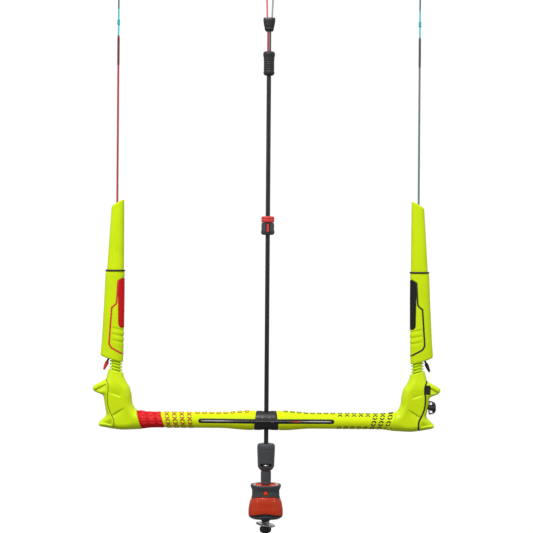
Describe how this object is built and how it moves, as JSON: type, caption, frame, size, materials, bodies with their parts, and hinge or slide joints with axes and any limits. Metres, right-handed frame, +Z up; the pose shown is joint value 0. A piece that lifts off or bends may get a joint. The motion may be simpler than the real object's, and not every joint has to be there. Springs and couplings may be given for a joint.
{
  "type": "kite control bar",
  "caption": "Kite control bar with foam floats, a winding trim in its end, a sliding stopper, a swivel and a push-away release with a harness loop.",
  "frame": {"origin": "middle of the upper ends of the two front lines, where the kite holds the bar", "axes": "+X along the bar to its trim winder, +Z up the lines, +Y away from the window side"},
  "size_m": [0.574, 0.059, 1.0231],
  "materials": {
    "neon_foam": "matt closed-cell foam",
    "neon_shell": "satin moulded",
    "neon_neck": "satin elastomer",
    "red_foam": "matt embossed foam",
    "black_foam": "matt embossed foam",
    "black_rubber": "matt",
    "red_rubber": "satin",
    "black_plastic": "fine texture",
    "tube_coating": "smooth polyurethane",
    "red_plastic": "satin",
    "slate_rubber": "soft touch",
    "grey_rubber": "soft touch",
    "orange_gloss": "glossy moulded",
    "steel": "polished stainless",
    "dark_aluminium": "dark anodised",
    "red_line": "braided",
    "dark_red_line": "braided sleeve",
    "grey_line": "braided",
    "dark_grey_line": "braided sleeve",
    "teal_line": "braided"
  },
  "bodies": {
    "centre_line": {"front_line_red": "red_line", "front_line_grey": "grey_line", "line_splitter": "black_plastic", "power_line": "red_line", "safety_line": "dark_grey_line", "upper_collar": "black_rubber", "depower_tube": "tube_coating", "swivel_cover": "grey_rubber"},
    "bar_slider": {"guide_ring": "steel"},
    "bar": {"bar_core": "dark_aluminium", "centre_insert": "black_plastic", "left_grip": "neon_foam", "left_band": "red_foam", "right_grip": "neon_foam", "window_frame": "black_plastic", "left_housing": "neon_shell", "left_horn_cap": "neon_shell", "right_housing": "neon_shell", "right_horn_cap": "neon_shell", "right_gasket": "black_rubber", "left_float_neck": "neon_neck", "right_float_neck": "neon_neck", "pulley_pin": "steel", "trim_line": "grey_line", "button_spring": "steel"},
    "left_float_body": {"left_float": "neon_foam", "left_float_insert": "red_foam", "left_float_o_ring": "black_rubber", "left_leader_line": "red_line", "left_leader_sleeve": "dark_red_line", "left_flying_line": "teal_line"},
    "right_float_body": {"right_float": "neon_foam", "right_float_insert": "black_foam", "right_float_o_ring": "black_rubber", "right_leader_line": "grey_line", "right_leader_sleeve": "dark_grey_line", "right_flying_line": "teal_line"},
    "left_retainer": {"left_line_retainer": "red_rubber"},
    "right_retainer": {"right_line_retainer": "black_rubber"},
    "stopper": {"stopper_body": "slate_rubber", "stopper_ring": "red_plastic"},
    "stopper_push_button": {"stopper_button": "red_plastic"},
    "quick_release": {"swivel_shaft": "steel", "swivel_stem": "grey_rubber", "release_core": "orange_gloss", "release_base": "black_plastic", "release_spring": "steel", "latch_pin": "steel", "loop_post": "steel", "loop_socket": "black_plastic", "harness_loop": "grey_rubber"},
    "release_sleeve": {"release_handle": "orange_gloss", "release_grip": "slate_rubber"},
    "latch": {"release_latch": "steel"},
    "leash_ring_body": {"leash_ring": "steel"},
    "trim_winder": {"trim_knob": "black_plastic", "trim_spool": "dark_aluminium"},
    "trim_slider": {"trim_marker": "red_plastic"},
    "trim_sheave": {"trim_pulley": "dark_aluminium"},
    "trim_release": {"trim_release_button": "black_plastic"}
  },
  "joints": [
    {"name": "bar_slide", "type": "slide", "parent": "centre_line", "child": "bar_slider", "axis": [0, 0, 1], "range_m": [-0.017, 0.28]},
    {"name": "bar_tilt", "type": "hinge", "parent": "bar_slider", "child": "bar", "pos_m": [0, 0, -0.745], "axis": [0, 1, 0], "range_deg": [-18, 18], "stiffness_Nm_per_rad": 0.8},
    {"name": "left_float_tilt", "type": "hinge", "parent": "bar", "child": "left_float_body", "pos_m": [-0.2485, 0, -0.656], "axis": [0, 1, 0], "range_deg": [-18, 18], "deforming": ["left_float_neck"]},
    {"name": "right_float_tilt", "type": "hinge", "parent": "bar", "child": "right_float_body", "pos_m": [0.2485, 0, -0.656], "axis": [0, 1, 0], "range_deg": [-18, 18], "deforming": ["right_float_neck"]},
    {"name": "left_retainer_swing", "type": "hinge", "parent": "left_float_body", "child": "left_retainer", "pos_m": [-0.2609, 0, -0.6447], "axis": [0, 1, 0], "range_deg": [-3, 35], "stiffness_Nm_per_rad": 0.02},
    {"name": "right_retainer_swing", "type": "hinge", "parent": "right_float_body", "child": "right_retainer", "pos_m": [0.2609, 0, -0.6447], "axis": [0, 1, 0], "range_deg": [-35, 3], "stiffness_Nm_per_rad": 0.02},
    {"name": "stopper_slide", "type": "slide", "parent": "centre_line", "child": "stopper", "axis": [0, 0, 1], "range_m": [-0.285, 0.232]},
    {"name": "stopper_button_press", "type": "slide", "parent": "stopper", "child": "stopper_push_button", "axis": [0, 1, 0], "range_m": [0, 0.002], "stiffness_N_per_m": 400},
    {"name": "swivel_spin", "type": "hinge", "parent": "centre_line", "child": "quick_release", "pos_m": [0, 0, -0.815], "axis": [0, 0, 1], "continuous": true},
    {"name": "release_slide", "type": "slide", "parent": "quick_release", "child": "release_sleeve", "axis": [0, 0, 1], "range_m": [0, 0.012], "stiffness_N_per_m": 900, "springref_m": -0.004, "deforming": ["release_spring"]},
    {"name": "latch_pivot", "type": "hinge", "parent": "quick_release", "child": "latch", "pos_m": [0, 0.009, -0.886], "axis": [1, 0, 0], "range_deg": [0, 25.1]},
    {"name": "leash_ring_spin", "type": "hinge", "parent": "quick_release", "child": "leash_ring_body", "pos_m": [0, 0, -0.9165], "axis": [0, 0, 1], "continuous": true},
    {"name": "trim_knob_turn", "type": "hinge", "parent": "bar", "child": "trim_winder", "pos_m": [0.236, 0, -0.7221], "axis": [1, 0, 0], "range_deg": [-358, 1043]},
    {"name": "trim_marker_slide", "type": "slide", "parent": "bar", "child": "trim_slider", "axis": [1, 0, 0], "range_m": [-0.1458, 0.0501]},
    {"name": "trim_pulley_turn", "type": "hinge", "parent": "bar", "child": "trim_sheave", "pos_m": [0.231, -0.008, -0.74], "axis": [0, 1, 0], "range_deg": [-574, 1670]},
    {"name": "trim_button_press", "type": "slide", "parent": "bar", "child": "trim_release", "axis": [0, 1, 0], "range_m": [0, 0.003], "stiffness_N_per_m": 500, "deforming": ["button_spring"]}
  ],
  "couplings": [
    {"joint": "left_float_tilt", "follows": "bar_tilt", "ratio": -1},
    {"joint": "right_float_tilt", "follows": "bar_tilt", "ratio": -1},
    {"joint": "latch_pivot", "follows": "release_slide", "rad_per_m": 36.4},
    {"joint": "trim_marker_slide", "follows": "trim_knob_turn", "m_per_rad": -0.008},
    {"joint": "trim_pulley_turn", "follows": "trim_knob_turn", "ratio": 1.6}
  ]
}
